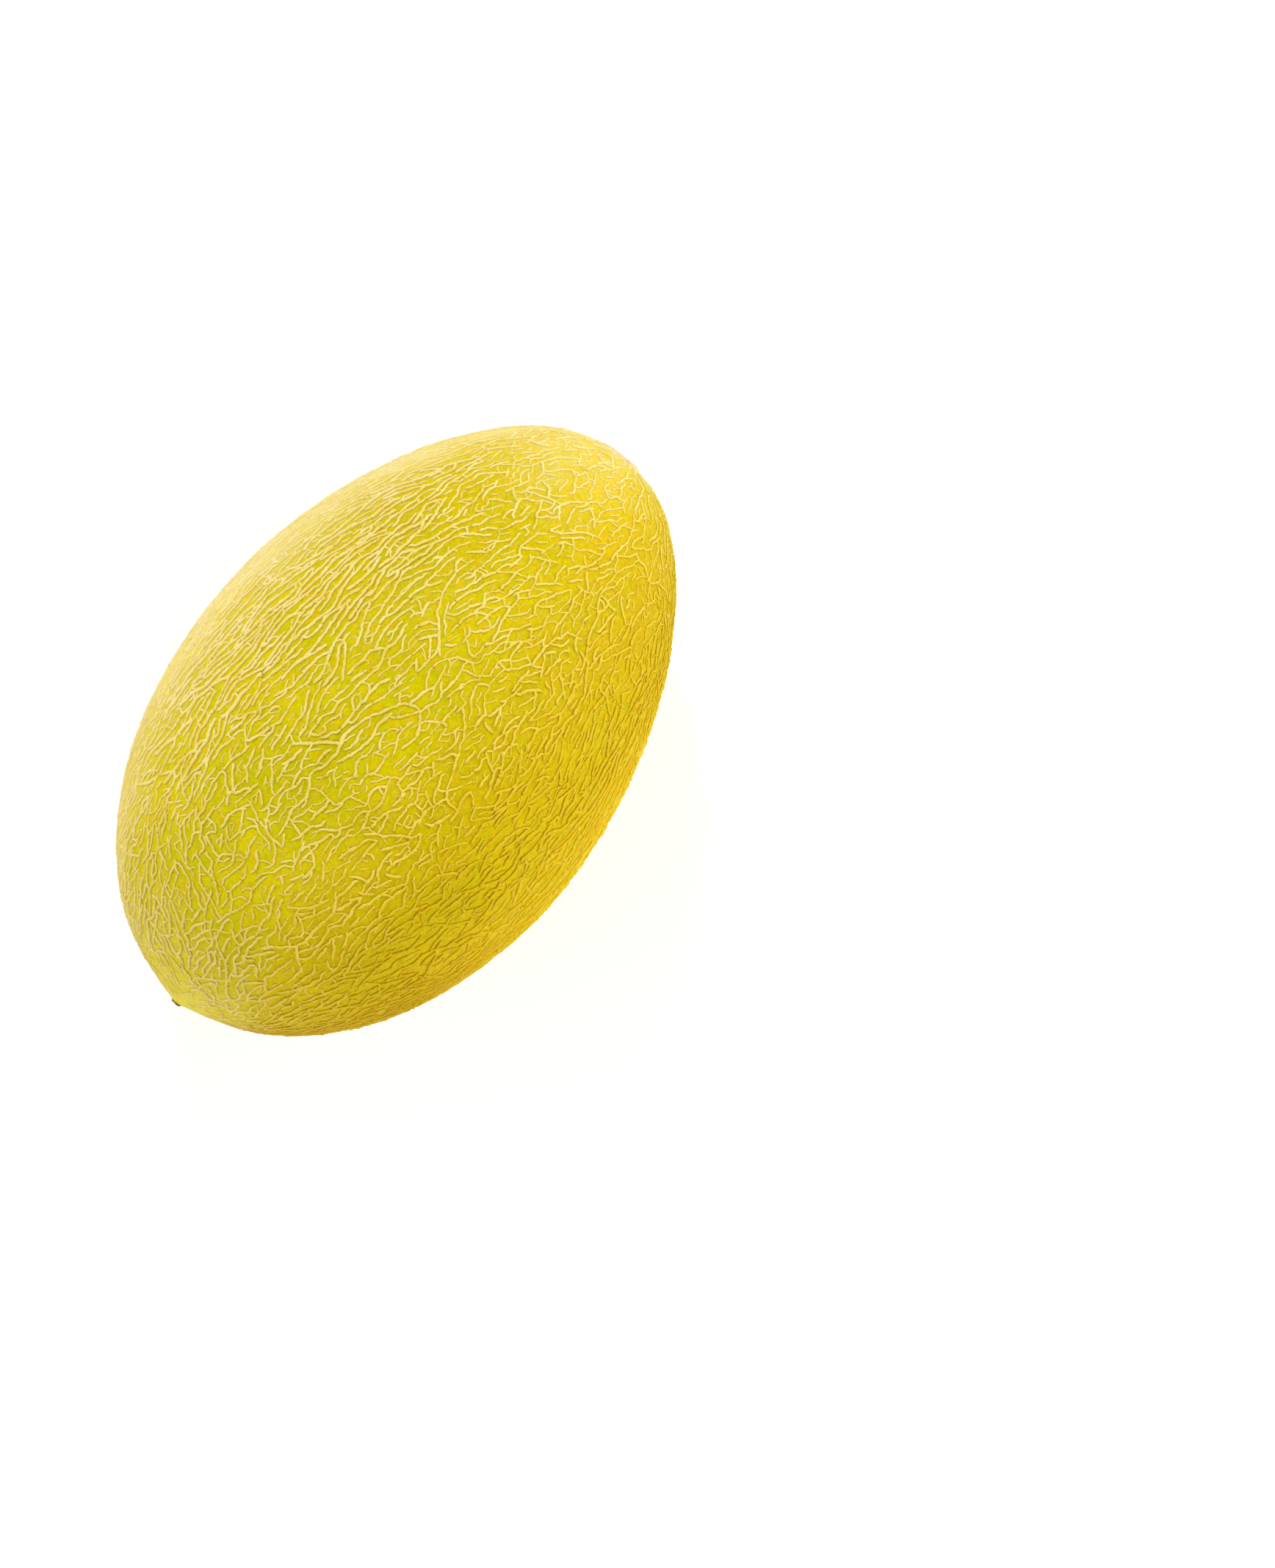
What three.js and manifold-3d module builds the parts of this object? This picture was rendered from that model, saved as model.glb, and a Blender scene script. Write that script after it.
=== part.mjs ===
// A whole netted melon, lying on its side on the flat spot where it grew against the ground.
// It grew as one piece, so it is one solid. Millimetres, +Z up: the long axis runs along X,
// with the blossom end at -X and the stem end at +X.
import * as THREE from "three";
import { mergeVertices } from "three/addons/utils/BufferGeometryUtils.js";
import Module from "manifold-3d";

// The body: an egg-shaped ellipsoid, a little wider towards the blossom end.
const HALF_LENGTH = 93; // pole to middle, before the ends get their own shape
const RADIUS = 60; // across the middle
const TAPER = -0.076; // share of the radius lost from the middle to the stem end, and gained the other way
const POINTED = -0.047; // share of the radius lost towards both ends

// No melon is perfectly round: the section swells and sinks by these shares of its radius.
const SWELLS = [
  { waves: 2, share: 0.006, phase: 0.6, twist: 0 },
  { waves: 3, share: 0.004, phase: -1.0, twist: 2 },
  { waves: 5, share: 0.0025, phase: 0.3, twist: -3 },
];

// The flat spot under the belly, as deep as this is cut into the round body.
const GROUND_SPOT_DEPTH = 1.1;

// The blossom end narrows into a low cone, which carries the dry stub of the flower.
const CONE_HEIGHT = 1.3;
const CONE_RADIUS = 8.5;
const STUB_HEIGHT = 1.2;
const STUB_RADIUS = 1.5;

// The stem end sinks into a shallow dimple round a corky scar, which has a raised rim and a small pit.
const DIMPLE_DEPTH = 1.4;
const DIMPLE_RADIUS = 13;
const SCAR_HEIGHT = 0.7;
const SCAR_RADIUS = 5.2;
const SCAR_EDGE = 1.1;
const PIT_DEPTH = 0.9;
const PIT_RADIUS = 1.3;

// How finely the surface is divided.
const SEGMENTS_ROUND = 64;
const RINGS_ALONG = 40;
const RINGS_PER_END = 12;
const END_SHARE = 0.16; // share of each quarter turn, from the pole, that the finer end rings cover

const bump = (distance, reach) => Math.exp(-((distance / reach) ** 2));
const plateau = (distance, radius, edge) => 1 / (1 + Math.exp((distance - radius) / (edge / 4)));

// Radius of the body's round section at t, from -1 at the blossom end to 1 at the stem end.
function bodyRadius(t) {
  return RADIUS * Math.sqrt(Math.max(0, 1 - t * t)) * (1 + TAPER * t + POINTED * t * t);
}

// How far the blossom end stands out beyond the plain ellipsoid, at a distance from the long axis.
function blossomEnd(distance) {
  return CONE_HEIGHT * bump(distance, CONE_RADIUS) + STUB_HEIGHT * plateau(distance, STUB_RADIUS, 0.8);
}

// How far the stem end stands out beyond the plain ellipsoid, which is mostly inwards.
function stemEnd(distance) {
  const dimple = -DIMPLE_DEPTH * bump(distance, DIMPLE_RADIUS);
  const scar = SCAR_HEIGHT * plateau(distance, SCAR_RADIUS, SCAR_EDGE);
  const pit = -PIT_DEPTH * bump(distance, PIT_RADIUS);
  return dimple + scar + pit;
}

// Angles from the blossom pole to the stem pole: even along the body, and finer over both ends.
function ringAngles() {
  const end = (END_SHARE * Math.PI) / 2;
  const spread = (count, from, to) =>
    Array.from({ length: count }, (_, i) => from + ((to - from) * i) / count);
  return [
    ...spread(RINGS_PER_END, 0, end),
    ...spread(RINGS_ALONG, end, Math.PI - end),
    ...spread(RINGS_PER_END, Math.PI - end, Math.PI),
    Math.PI,
  ];
}

// The profile from pole to pole, as (distance from the long axis, place along it).
function profile() {
  return ringAngles().map((angle) => {
    const t = -Math.cos(angle);
    const distance = angle === 0 || angle === Math.PI ? 0 : bodyRadius(t);
    const end = t < 0 ? -blossomEnd(distance) : stemEnd(distance);
    return new THREE.Vector2(distance, HALF_LENGTH * t + end);
  });
}

// Turns the profile into a closed surface along X, with the section's gentle swells.
function bodySurface() {
  const lathe = new THREE.LatheGeometry(profile(), SEGMENTS_ROUND);
  lathe.deleteAttribute("normal");
  lathe.deleteAttribute("uv");
  const surface = mergeVertices(lathe);
  const place = surface.getAttribute("position");
  for (let i = 0; i < place.count; i++) {
    const along = place.getY(i);
    const angle = Math.atan2(place.getZ(i), place.getX(i));
    const t = THREE.MathUtils.clamp(along / HALF_LENGTH, -1, 1);
    const swell = SWELLS.reduce(
      (sum, s) => sum + s.share * Math.cos(s.waves * angle + s.phase + s.twist * t),
      1,
    );
    place.setXYZ(i, along, place.getZ(i) * swell, place.getX(i) * swell);
  }
  return surface;
}

// The body with the ground spot cut flat, as a solid.
async function melonSolid() {
  const wasm = await Module();
  wasm.setup();
  const toSolid = (geometry) =>
    new wasm.Manifold(
      new wasm.Mesh({
        numProp: 3,
        vertProperties: Float32Array.from(geometry.getAttribute("position").array),
        triVerts: Uint32Array.from(geometry.index.array),
      }),
    );
  const surface = bodySurface();
  surface.computeBoundingBox();
  const { min, max } = surface.boundingBox;
  const ground = new THREE.BoxGeometry(4 * HALF_LENGTH, 4 * RADIUS, 2 * RADIUS);
  ground.deleteAttribute("normal");
  ground.deleteAttribute("uv");
  ground.translate(0, 0, min.z + GROUND_SPOT_DEPTH - RADIUS);
  const cut = toSolid(surface).subtract(toSolid(mergeVertices(ground)));
  // Origin under the middle of the body's box, on the ground.
  return cut.translate([-(min.x + max.x) / 2, -(min.y + max.y) / 2, -(min.z + GROUND_SPOT_DEPTH)]);
}

function toGeometry(solid) {
  const mesh = solid.getMesh();
  const geometry = new THREE.BufferGeometry();
  geometry.setAttribute("position", new THREE.BufferAttribute(mesh.vertProperties, 3));
  geometry.setIndex(new THREE.BufferAttribute(mesh.triVerts, 1));
  geometry.computeVertexNormals();
  return geometry;
}

const rind = new THREE.MeshStandardMaterial({ color: 0xd8c428, roughness: 0.55, metalness: 0 });
const melon = new THREE.Mesh(toGeometry(await melonSolid()), rind);
melon.name = "melon";

const part = new THREE.Group();
part.add(melon);

export default part;
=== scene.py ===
"""A netted melon lying on its side on a pale floor, seen from above.

The body and the net are in millimetres up to closed_mesh(), which makes them metres. The floor,
the lights and the camera are in metres. Directions on the unit sphere stand for places on the
body: x runs along the melon, from the blossom end at -1 to the stem end at +1, y across it and
z up.
"""

import itertools
import math

import bpy
import numpy as np
from mathutils import Matrix, Vector


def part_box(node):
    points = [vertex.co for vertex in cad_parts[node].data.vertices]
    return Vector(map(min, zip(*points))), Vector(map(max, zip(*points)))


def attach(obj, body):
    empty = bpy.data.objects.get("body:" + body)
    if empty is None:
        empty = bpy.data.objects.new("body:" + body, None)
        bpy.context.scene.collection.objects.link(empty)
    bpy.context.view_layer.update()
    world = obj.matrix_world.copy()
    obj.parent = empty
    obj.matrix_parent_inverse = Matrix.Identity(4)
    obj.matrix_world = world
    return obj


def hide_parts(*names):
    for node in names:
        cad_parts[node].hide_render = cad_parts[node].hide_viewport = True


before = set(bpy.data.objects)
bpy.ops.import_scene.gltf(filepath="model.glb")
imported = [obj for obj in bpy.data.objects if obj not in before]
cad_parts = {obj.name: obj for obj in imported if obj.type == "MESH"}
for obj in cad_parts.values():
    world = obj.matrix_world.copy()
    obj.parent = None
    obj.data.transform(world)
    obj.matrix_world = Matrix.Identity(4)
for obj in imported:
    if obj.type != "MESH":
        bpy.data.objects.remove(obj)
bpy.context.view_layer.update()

# ------------------------------ the body's shape

HALF_LENGTH = 93.0  # pole to middle, before the ends get their own shape
RADIUS = 60.0  # across the middle
WIDEST = 62.0  # no part of the plain body is further than this from the long axis
TAPER = -0.076  # share of the radius lost from the middle to the stem end, and gained the other way
POINTED = -0.047  # share of the radius lost towards both ends
# The section swells and sinks, as (waves round it, share of the radius, phase, twist).
SWELLS = ((2, 0.006, 0.6, 0), (3, 0.004, -1.0, 2), (5, 0.0025, 0.3, -3))
CONE = (1.3, 8.5)  # height and reach of the low cone at the blossom end
STUB = (1.2, 1.5)  # height and radius of the flower's dry stub on the cone
STUB_EDGE = 0.8  # how far the stub's edge slopes
COLLAR = (0.65, 2.6)  # height and reach of the skin that swells round the stub
DIMPLE = (1.4, 13.0)  # depth and reach of the hollow round the stem scar
SCAR = (0.7, 5.2)  # height and radius of the scar
SCAR_EDGE = 1.1  # how far the scar's edge slopes
PIT = (0.62, 1.3)  # depth and reach of the pit in the scar, whose floor stays above the skin
GROUND_SPOT_DEPTH = 1.1  # how much of the round body the flat spot under the belly cuts off
GROUND_SPOT = np.array([-5.5, 1.0])  # the middle of the flat spot
DENT_DEPTH = 0.10  # of the broad dents in the skin
PUCKER_DEPTH = 0.035  # of the small ones
SKIN_DROP = 0.1  # keeps nearly all of the dented skin within the part


def unit(v):
    """The rows of v, each made 1 long."""
    return v / np.maximum(np.linalg.norm(v, axis=1, keepdims=True), 1e-9)


def ease(x, low, high):
    """0 below low and 1 above high, with a smooth rise between them."""
    s = np.clip((x - low) / (high - low), 0, 1)
    return s * s * (3 - 2 * s)


def bump(distance, reach):
    """1 at no distance, fading to 0 round it."""
    return np.exp(-((distance / reach) ** 2))


def plateau(distance, radius, edge):
    """1 inside the radius and 0 outside it, with a sloping edge."""
    return 1 / (1 + np.exp(np.minimum((distance - radius) / (edge / 4), 60)))


def girth(t):
    """Radius of the body's section over sqrt(1 - t * t)."""
    return RADIUS * (1 + TAPER * t + POINTED * t * t)


def egg(q):
    """The plain round body, which the net grows on."""
    return np.column_stack([HALF_LENGTH * q[:, 0], q[:, 1:] * girth(q[:, 0])[:, None]])


def egg_direction(p):
    """The direction that stands for a place p on the plain body."""
    t = p[:, 0] / HALF_LENGTH
    return unit(np.column_stack([t, p[:, 1:] / girth(np.clip(t, -1, 1))[:, None]]))


def egg_axes(q):
    """Outward normal, the tangent towards the stem end, and the tangent across it."""
    normal = unit(np.column_stack([q[:, 0] / HALF_LENGTH, q[:, 1:] / girth(q[:, 0])[:, None]]))
    along = unit(np.array([1.0, 0, 0]) - normal[:, :1] * normal)
    return normal, along, np.cross(normal, along)


def axis_distance(q):
    """Distance from the long axis of the place that q stands for on the plain body."""
    return girth(q[:, 0]) * np.linalg.norm(q[:, 1:], axis=1)


def pole_direction(end, distance, angle):
    """Direction of the place at a distance from the long axis, near the pole at x = end."""
    t = np.full_like(distance, end)
    for _ in range(3):
        t = end * np.sqrt(1 - (distance / girth(t)) ** 2)
    r = np.sqrt(1 - t * t)
    return np.column_stack([t, r * np.sin(angle), r * np.cos(angle)])


def around(q):
    """Angle about the long axis: 0 on top and positive towards +Y."""
    return np.arctan2(q[:, 1], q[:, 2])


def spot(t, turn, at_t, at_turn, reach_t, reach_turn):
    """1 at one place on the body, fading to 0 round it."""
    away = np.angle(np.exp(1j * (turn - at_turn)))
    return np.exp(-(((t - at_t) / reach_t) ** 2) - (away / reach_turn) ** 2)


WAVE_GAIN = 1.06  # brings most values of a sum of waves within -1 to 1


class Waves:
    """Smooth random values over space, mostly from -1 to 1: a sum of plane waves."""

    def __init__(self, rng, wavelength, count=24):
        heading = unit(rng.normal(size=(count, 3)))
        self.k = heading * 2 * math.pi / wavelength * rng.uniform(0.7, 1.4, (count, 1))
        self.phase = rng.uniform(0, 2 * math.pi, count)

    def __call__(self, p):
        total = np.sin(p @ self.k.T + self.phase).sum(1)
        return total * WAVE_GAIN / math.sqrt(len(self.phase))


DENTS = Waves(np.random.default_rng(11), 26)
PUCKER = Waves(np.random.default_rng(12), 7)


def skin_shape(q, lift=0.0):
    """Places on the melon's skin, or lift above it, about the plain body's own middle."""
    t, distance = q[:, 0], axis_distance(q)
    cone = CONE[0] * bump(distance, CONE[1]) + COLLAR[0] * bump(distance, COLLAR[1])
    end = np.where(t < 0, -cone, -DIMPLE[0] * bump(distance, DIMPLE[1]))
    swell = 1 + sum(s * np.cos(n * around(q) + p + w * t) for n, s, p, w in SWELLS)
    body = egg(q)
    place = np.column_stack([body[:, 0] + end, body[:, 1:] * swell[:, None]])
    relief = DENT_DEPTH * DENTS(body) + PUCKER_DEPTH * PUCKER(body) - SKIN_DROP
    return place + egg_axes(q)[0] * (relief + lift)[:, None]


# The six sides of the melon, as those of a cube: name, the axis that the side faces, its sign,
# and the axes that run across the side.
SIDES = (
    ("stem_end", 0, 1, 1, 2),
    ("blossom_end", 0, -1, 2, 1),
    ("left", 1, 1, 2, 0),
    ("right", 1, -1, 0, 2),
    ("top", 2, 1, 0, 1),
    ("ground", 2, -1, 1, 0),
)


def side_of(q):
    """The index in SIDES of the side that q lies on."""
    axis = np.abs(q).argmax(1)
    return 2 * axis + (q[np.arange(len(q)), axis] < 0)


def place_on_side(q, side):
    """Where q lies across a side: both values run from -1 to 1 on it and go on past its edges."""
    _, axis, sign, u, v = SIDES[side]
    ahead = sign * q[:, axis]
    return np.column_stack([np.arctan2(q[:, u], ahead), np.arctan2(q[:, v], ahead)]) / (math.pi / 4)


def cube_grid(count):
    """Directions and quads of a sphere made from a cube with count x count quads a side."""
    a = np.tan(np.linspace(-1, 1, count + 1) * math.pi / 4)
    across = np.stack(np.meshgrid(a, a, indexing="ij"), -1).reshape(-1, 2)
    corner = (np.arange(count)[:, None] * (count + 1) + np.arange(count)).ravel()
    quad = np.stack([corner, corner + count + 1, corner + count + 2, corner + 1], 1)
    quads = np.concatenate([quad + k * len(across) for k in range(len(SIDES))])
    points = np.empty((len(SIDES), len(across), 3))
    for k, (_, axis, sign, u, v) in enumerate(SIDES):
        points[k, :, axis], points[k][:, [u, v]] = sign, across
    points = points.reshape(-1, 3)
    kept, index = np.unique(np.round(points, 6), axis=0, return_index=True, return_inverse=True)[1:]
    return unit(points[kept]), index.reshape(-1)[quads]


SKIN_QUADS = 125  # along each edge of each side
skin_directions, skin_quads = cube_grid(SKIN_QUADS)


def shift_to_box():
    """The way from the body's own middle to its place in the part's box, with the stub's tip at
    one end and the ground cut at 0."""
    place = skin_shape(skin_directions)
    low, high = (np.array(corner) * 1000 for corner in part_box("melon"))
    across = (low[1] + high[1] - place[:, 1].min() - place[:, 1].max()) / 2
    along = low[0] + HALF_LENGTH + CONE[0] + STUB[0]
    return np.array([along, across, -place[:, 2].min() - GROUND_SPOT_DEPTH])


SHIFT = shift_to_box()


def skin(q, lift=0.0):
    """Places on the melon's skin, or lift above it, in the part's frame before the ground cut."""
    return skin_shape(q, lift) + SHIFT


def on_ground(place):
    """The same places, with those below the ground cut flat on it."""
    place[:, 2] = np.maximum(place[:, 2], 0)
    return place


# ------------------------------ the net's growth

STEP = 0.4  # how far a line grows at a time
VOXEL = 0.5  # size of the cells that lines are looked up in
MARGIN = 4  # width of the empty cells kept round the body
TOUCH = 0.55  # a line that comes this near another one joins it
SHY = 1.7  # a line that runs beside another one turns away within this distance
CLEAR = (0.8, 1.15, 1.5, 2.0)  # distances from the nearest line that free() tells apart
MOST_POINTS = 300000  # that all lines together have room for
NEARBY = tuple(itertools.product((-1, 0, 1), repeat=3))  # steps to a cell and the 26 round it
AHEAD = (0.0, 0.45)  # distances in front of a tip at which it feels for other lines
BESIDE = 0.75  # cosine of the largest angle between lines that count as side by side
PULL = 1.5  # how strongly a tip turns to its own angle, where its old heading counts for 1
PUSH = 0.6  # how strongly it turns away from a line beside it
KINK = 0.4  # how much a line wanders, before its place makes it wander more or less
BRANCH_KINK = 0.45
STOP_SHORT = 0.15  # share of the meetings at which a line stops before it touches the other one
LEAVING = 1.6  # a side shoot can't join the line that it grows from before it is this long

# Distances from the long axis at which lines end: clear of the stub, and under the scar's edge.
BLOSSOM_LIMIT = 3 * STUB[1]
STEM_LIMIT = SCAR[1] - 0.4

# Where the net has a character of its own, as (t, turn, reach in t, reach in turn).
STREAKS = (0.0, 0.66, 0.62, 0.37)
BLOSSOM_TANGLE = (-0.46, 0.28, 0.2, 0.3)
STEM_TANGLE = (0.8, 0.45, 0.14, 0.3)
RIGHT_TANGLE = (0.1, -0.45, 0.5, 0.22)

# Angles that lines lean by at such places.
LEANS = (
    (-0.27, (0.25, -0.1, 0.45, 0.5)),
    (-0.45, (0.95, -0.1, 0.15, 0.6)),
    (0.45, (-0.65, 0.35, 0.3, 0.3)),
    (-0.35, (-0.65, 1.0, 0.35, 0.25)),
    (0.45, (-0.9, -0.5, 0.2, 0.5)),
)

# The net comes in over these distances from the long axis and from the ground spot's middle.
BLOSSOM_FADE = (3, 30)
GROUND_FADE = (13, 34)
SPOT_SHAPE = (1.25, 1)  # the ground spot is this much longer than it is wide
STEM_LOSS = 0.32  # share of its strength that the net loses towards the stem end
STEM_FADE = (0.4, 0.95)  # the values of t between which it loses that
LEFT_LOSS = 0.4  # share lost along the left flank
LEFT_FADE = ((0.95, 1.3), (1.4, 1.75))  # the turns between which that loss begins and ends


class Net:
    """Corky lines over the body, grown as the skin splits: longest first, then shorter ones in
    the gaps. A line stops where it meets another."""

    def __init__(self, seed):
        self.rng = np.random.default_rng(seed)
        self.low = -np.array([HALF_LENGTH, WIDEST, WIDEST]) - MARGIN
        self.dims = np.ceil(-2 * self.low / VOXEL).astype(int)
        self.owner = np.full(self.dims.prod(), -1, np.int32)  # the point within TOUCH of each cell
        self.neighbour = np.full(self.dims.prod(), -1, np.int32)  # the point within SHY of it
        self.near = np.full(self.dims.prod(), len(CLEAR), np.uint8)  # how many of CLEAR are free
        self.touch = self.ball(TOUCH)
        self.shy = self.ball(SHY)
        self.balls = [self.ball(r) for r in CLEAR]
        self.q = np.zeros((MOST_POINTS, 3))
        self.heading = np.zeros((MOST_POINTS, 3))
        self.line_of = np.zeros(MOST_POINTS, np.int32)
        self.count = 0
        self.lines = []  # (points, start joined, end joined, width)
        self.swirl = Waves(self.rng, 60)
        self.patch = Waves(self.rng, 45)

    def ball(self, radius):
        """Offsets of the voxels within radius."""
        reach = int(math.ceil(radius / VOXEL))
        a = np.arange(-reach, reach + 1)
        o = np.stack(np.meshgrid(a, a, a, indexing="ij"), -1).reshape(-1, 3)
        o = o[np.linalg.norm(o, axis=1) * VOXEL <= radius]
        return (o[:, 0] * self.dims[1] + o[:, 1]) * self.dims[2] + o[:, 2]

    def voxel(self, p):
        """The index of the cell that holds each place."""
        i = ((p - self.low) / VOXEL).astype(np.int64)
        return (i[:, 0] * self.dims[1] + i[:, 1]) * self.dims[2] + i[:, 2]

    def order(self, q):
        """How strongly lines keep to the lean: 1 in the long streaks, near 0 in the tangles."""
        t, turn = q[:, 0], around(q)
        order = 0.56 + 0.10 * self.patch(egg(q)) - 0.12 * ease(np.abs(t), 0.5, 0.8)
        order += 0.37 * spot(t, turn, *STREAKS)
        order -= 0.52 * spot(t, turn, *BLOSSOM_TANGLE)
        order -= 0.42 * spot(t, turn, *STEM_TANGLE)
        order -= 0.32 * spot(t, turn, *RIGHT_TANGLE)
        return np.clip(order, 0.05, 1)

    def lean(self, q):
        """Angle from the long axis that lines grow at."""
        t, turn = q[:, 0], around(q)
        return 0.12 * self.swirl(egg(q)) + sum(angle * spot(t, turn, *at) for angle, at in LEANS)

    def strength(self, q):
        """1 where the net is full, less where it fades: at the blossom end, round the ground spot,
        along the left flank and towards the stem end."""
        distance, turn = axis_distance(q), around(q)
        p = egg(q)
        blossom = np.where(q[:, 0] < 0, ease(distance, *BLOSSOM_FADE), 1)
        from_spot = np.linalg.norm((p[:, :2] - GROUND_SPOT) / SPOT_SHAPE, axis=1)
        ground = ease(from_spot, *GROUND_FADE)
        begins, ends = LEFT_FADE
        flank = 1 - LEFT_LOSS * ease(turn, *begins) * (1 - ease(turn, *ends))
        stem = 1 - STEM_LOSS * ease(q[:, 0], *STEM_FADE)
        return blossom * stem * np.where(q[:, 2] < 0, ground, 1) * flank

    def bounded(self, q):
        """False past the ends of the net, round the flower's stub and under the scar's edge."""
        return axis_distance(q) > np.where(q[:, 0] < 0, BLOSSOM_LIMIT, STEM_LIMIT)

    def free(self, p, gap):
        """True where the nearest line is further than CLEAR[gap]."""
        return self.near[self.voxel(p)] > gap

    def seeds(self, tries, spacing, gap, chance):
        """Places at least spacing apart and CLEAR[gap] from every line."""
        rng = self.rng
        q = unit(rng.normal(size=(tries, 3)))
        g = girth(q[:, 0])
        area = g * g * np.sqrt((q[:, 0] / HALF_LENGTH) ** 2 + (q[:, 1] ** 2 + q[:, 2] ** 2) / g**2)
        q = q[rng.uniform(size=tries) < area / area.max() * chance(q)]
        p = egg(q)
        fine = self.free(p, gap) & self.bounded(q)
        q, p = q[fine], p[fine]
        cells = {}
        kept = []
        for i, key in enumerate(map(tuple, np.floor(p / spacing).astype(int))):
            near = [
                j
                for a, b, c in NEARBY
                for j in cells.get((key[0] + a, key[1] + b, key[2] + c), ())
            ]
            if near and ((p[near] - p[i]) ** 2).sum(1).min() < spacing**2:
                continue
            cells.setdefault(key, []).append(i)
            kept.append(i)
        return q[kept]

    def add(self, q, heading, line):
        """Adds a point at each of q to its line and marks the cells round it. Gives the points."""
        index = np.arange(self.count, self.count + len(q))
        self.q[index], self.heading[index], self.line_of[index] = q, heading, line
        self.count += len(q)
        at = self.voxel(egg(q))
        for grid, ball in ((self.owner, self.touch), (self.neighbour, self.shy)):
            cells = (at[:, None] + ball).ravel()
            owner = np.repeat(index, len(ball))
            empty = grid[cells] < 0
            grid[cells[empty]] = owner[empty]
        for k in reversed(range(len(CLEAR))):
            cells = (at[:, None] + self.balls[k]).ravel()
            self.near[cells] = np.minimum(self.near[cells], k)
        return index

    def meets(self, p, heading, line, parent, grown):
        """The point of another line that each tip is about to run into, or -1."""
        found = np.full(len(p), -1)
        for ahead in AHEAD:
            at = self.owner[self.voxel(p + ahead * heading)]
            other = np.where(at >= 0, self.line_of[at], -1)
            ok = (at >= 0) & (other != line) & ~((other == parent) & (grown < LEAVING))
            found = np.where((found < 0) & ok, at, found)
        return found

    def away(self, p, heading, line, parent):
        """The push on each tip from a line that it runs beside."""
        at = self.neighbour[self.voxel(p)]
        beside = (at >= 0) & (self.line_of[at] != line) & (self.line_of[at] != parent)
        beside &= np.abs((self.heading[at] * heading).sum(1)) > BESIDE
        gap = p - egg(self.q[at])
        gap -= (gap * heading).sum(1)[:, None] * heading
        return np.where(beside[:, None], unit(gap), 0.0)

    def steer(self, at, heading, turn, line, parent):
        """The tips' next headings: pulled towards turn from the lean, and off nearby lines."""
        normal, along, across = egg_axes(at)
        angle = (self.lean(at) + turn)[:, None]
        pull = np.cos(angle) * along + np.sin(angle) * across
        pull *= np.sign((pull * heading).sum(1) + 1e-9)[:, None]
        push = self.away(egg(at), heading, line, parent)
        new = heading + PULL * pull + PUSH * push
        return unit(new - (new * normal).sum(1)[:, None] * normal)

    def grow(self, q, length, width, turn, kink, kink_every, parent=None):
        """Grows a line from each place in q: both ways, or away from its parent line. turn is
        the angle from the lean, kink how much the line wanders and kink_every how often."""
        rng, n = self.rng, len(q)
        first_line, ways = len(self.lines), 1 if parent is not None else 2
        line = np.tile(np.arange(first_line, first_line + n), ways)
        _, along, across = egg_axes(q)
        angle = (self.lean(q) + turn)[:, None]
        heading = np.cos(angle) * along + np.sin(angle) * across
        roots = self.add(q, heading, line[:n])
        at, heading = np.tile(q, (ways, 1)), np.concatenate([heading, -heading][:ways])
        turn, way = np.tile(turn, ways), np.repeat(np.arange(ways), n)
        left = np.tile(length / ways, ways) * rng.uniform(0.7, 1.3, n * ways)
        parent = np.full(len(at), -1) if parent is None else parent
        kink = np.tile(kink, ways)
        grown, wander = np.zeros(len(at)), rng.normal(size=len(at)) * kink
        trails = [[[] for _ in range(n)] for _ in range(2)]
        joined = np.zeros((2, n), bool)
        tips = np.arange(len(at))
        while len(tips):
            aim = turn[tips] + wander[tips]
            new = self.steer(at[tips], heading[tips], aim, line[tips], parent[tips])
            q_new = egg_direction(egg(at[tips]) + STEP * new)
            met = self.meets(egg(q_new), new, line[tips], parent[tips], grown[tips])
            on = met < 0
            points = self.add(q_new[on], new[on], line[tips[on]])
            for tip, point in zip(tips[on], points):
                trails[way[tip]][line[tip] - first_line].append(point)
            for tip, point in zip(tips[~on], met[~on]):
                if rng.uniform() > STOP_SHORT:
                    trails[way[tip]][line[tip] - first_line].append(point)
                    joined[way[tip], line[tip] - first_line] = True
            at[tips], heading[tips] = q_new, new
            grown[tips] += STEP
            left[tips] -= STEP
            redraw = tips[rng.uniform(size=len(tips)) < STEP / kink_every]
            wander[redraw] = rng.normal(size=len(redraw)) * kink[redraw]
            tips = tips[on & (left[tips] > 0) & self.bounded(q_new)]
        for i in range(n):
            points = [*trails[1][i][::-1], roots[i], *trails[0][i]]
            start = joined[1, i] or ways == 1
            self.lines.append((np.array(points), start, joined[0, i], width[i]))

    def branch(self, count, length, width):
        """Side shoots from the lines there are."""
        rng = self.rng
        at = np.concatenate([points[2:-2:3] for points, *_ in self.lines if len(points) > 6])
        at = rng.permutation(at)
        at = at[rng.uniform(size=len(at)) < self.strength(self.q[at])][:count]
        turn = rng.choice([-1, 1], len(at)) * rng.uniform(0.5, 1.2, len(at))
        n = len(at)
        kink = np.full(n, BRANCH_KINK)
        length, width = rng.uniform(*length, n), rng.uniform(*width, n)
        self.grow(self.q[at], length, width, turn, kink, 1.2, self.line_of[at])

    def scatter(self, tries, spacing, gap, length, width, chance, kink_every):
        """Lines from new places, at angles that differ from the lean where they tangle."""
        rng = self.rng
        q = self.seeds(tries, spacing, gap, chance)
        n, order = len(q), self.order(q)
        turn = rng.normal(size=n) * (0.10 + 0.75 * (1 - order) ** 1.5)
        kink = KINK * (1.15 - 0.75 * order)
        self.grow(q, rng.uniform(*length, n), rng.uniform(*width, n), turn, kink, kink_every)


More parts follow.
